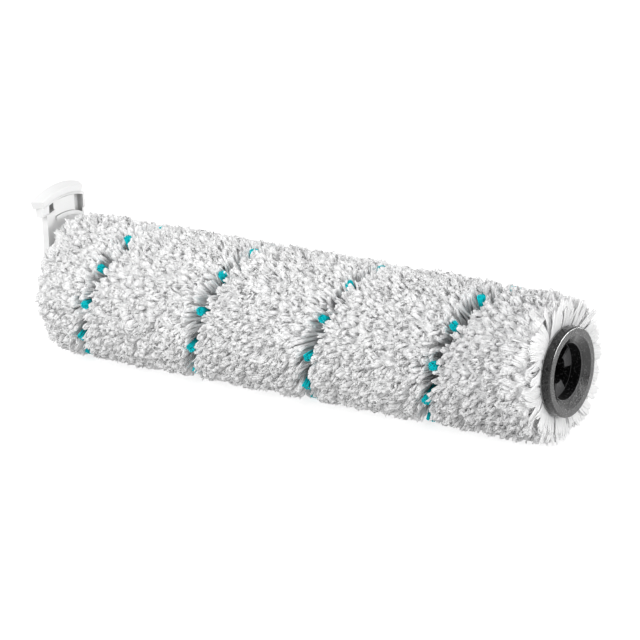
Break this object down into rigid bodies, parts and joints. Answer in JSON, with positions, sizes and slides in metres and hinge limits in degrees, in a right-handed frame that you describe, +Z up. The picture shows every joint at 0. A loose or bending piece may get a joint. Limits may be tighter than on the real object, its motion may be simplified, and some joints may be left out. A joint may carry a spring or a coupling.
{
  "type": "vacuum brush roll",
  "caption": "Floor-washer brush roll: helical microfibre pile with a row of nylon tufts on a tube, a drive socket at one end and a pull-tab bracket on a bearing at the other.",
  "frame": {"origin": "on the roll's axis, at the mouth of the drive socket's plain bore", "axes": "+X along the roll's axis, out of the drive socket; +Z up, away from the surface it lies on"},
  "size_m": [0.2596, 0.06, 0.0729],
  "materials": {
    "microfibre": "matte pile",
    "nylon": "satin",
    "core_plastic": "matte",
    "socket_plastic": "satin",
    "bracket_plastic": "satin",
    "steel": "ground",
    "spring_steel": "blackened",
    "seal_rubber": "matte"
  },
  "bodies": {
    "roll": {"core_tube": "core_plastic", "pile_strip": "microfibre", "bristle_tufts": "nylon", "tuft_anchors": "steel", "drive_socket": "socket_plastic", "bearing_plug": "socket_plastic", "bearing_outer_race": "steel", "outer_shield": "seal_rubber", "inner_shield": "seal_rubber"},
    "bracket": {"end_bracket": "bracket_plastic", "stub_axle": "steel", "bearing_inner_race": "steel", "retaining_clip": "spring_steel", "spacer_washer": "steel"},
    "ball_set": {"bearing_balls": "steel", "bearing_cage": "steel"}
  },
  "joints": [
    {"name": "bracket_spin", "type": "hinge", "parent": "roll", "child": "bracket", "pos_m": [-0.238, 0, 0], "axis": [1, 0, 0], "continuous": true},
    {"name": "ball_set_spin", "type": "hinge", "parent": "roll", "child": "ball_set", "pos_m": [-0.238, 0, 0], "axis": [1, 0, 0], "continuous": true}
  ],
  "couplings": [
    {"joint": "ball_set_spin", "follows": "bracket_spin", "ratio": 0.36}
  ]
}
